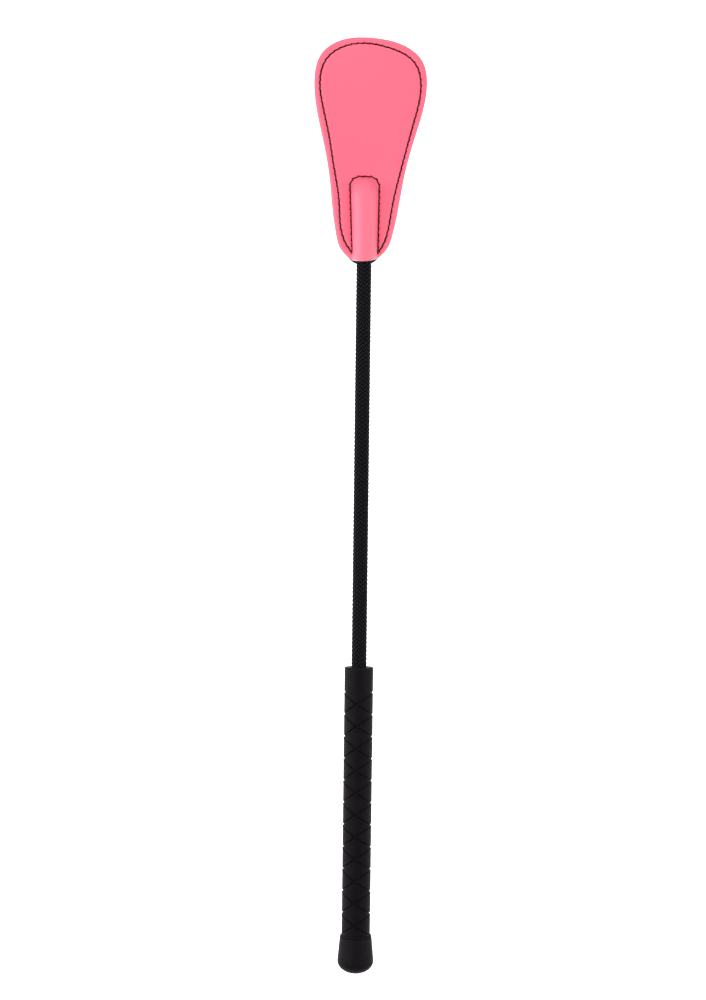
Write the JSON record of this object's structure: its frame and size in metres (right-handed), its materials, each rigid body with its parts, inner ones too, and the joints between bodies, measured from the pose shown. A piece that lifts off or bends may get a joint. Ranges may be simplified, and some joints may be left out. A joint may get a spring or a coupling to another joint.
{
  "type": "riding crop",
  "caption": "Riding crop: rubber grip with a butt cap, slim braided flexible shaft and a wide stitched leather tongue, pink in front and black behind.",
  "frame": {"origin": "on the shaft's axis, at the middle of the grip's plain collar", "axes": "+Y along the shaft towards the tongue, +Z out of the tongue's pink face, +X to the right when the tongue points up and the pink face is seen"},
  "size_m": [0.0788, 0.6512, 0.0252],
  "materials": {
    "pink_leather": "soft matte grain",
    "black_leather": "matte grain",
    "seam_thread": "waxed twisted thread",
    "braid": "tight braid, slight sheen",
    "whipping_thread": "bound thread",
    "grip_rubber": "matte moulded",
    "cap_rubber": "matte moulded",
    "fibreglass": "smooth pultruded",
    "handle_plastic": "moulded",
    "bush_plastic": "moulded",
    "filler_yarn": "laid yarn",
    "interlining": "bonded fibre board"
  },
  "bodies": {
    "handle": {"grip_sleeve": "grip_rubber", "butt_cap": "cap_rubber", "handle_tube": "handle_plastic", "handle_top_bush": "bush_plastic", "handle_butt_plug": "handle_plastic", "core_rod_lower": "fibreglass", "shaft_filler_lower": "filler_yarn", "shaft_braid_lower": "braid", "butt_whipping": "whipping_thread"},
    "shaft": {"core_rod_upper": "fibreglass", "shaft_filler_upper": "filler_yarn", "shaft_braid_upper": "braid", "tip_whipping": "whipping_thread", "rod_tip_cap": "bush_plastic", "tongue_front_root": "pink_leather", "tongue_core_root": "interlining", "tongue_back_root": "black_leather", "pocket_stitches": "seam_thread", "edge_stitches_root": "seam_thread"},
    "tongue": {"tongue_front_flap": "pink_leather", "tongue_core_flap": "interlining", "tongue_back_flap": "black_leather", "edge_stitches_flap": "seam_thread"}
  },
  "joints": [
    {"name": "shaft_flex", "type": "hinge", "parent": "handle", "child": "shaft", "pos_m": [0, 0.0785, 0], "axis": [1, 0, 0], "range_deg": [-20, 20], "stiffness_Nm_per_rad": 8},
    {"name": "tongue_flex", "type": "hinge", "parent": "shaft", "child": "tongue", "pos_m": [0, 0.3608, -0.00445], "axis": [1, 0, 0], "range_deg": [-45, 45], "stiffness_Nm_per_rad": 0.5}
  ]
}
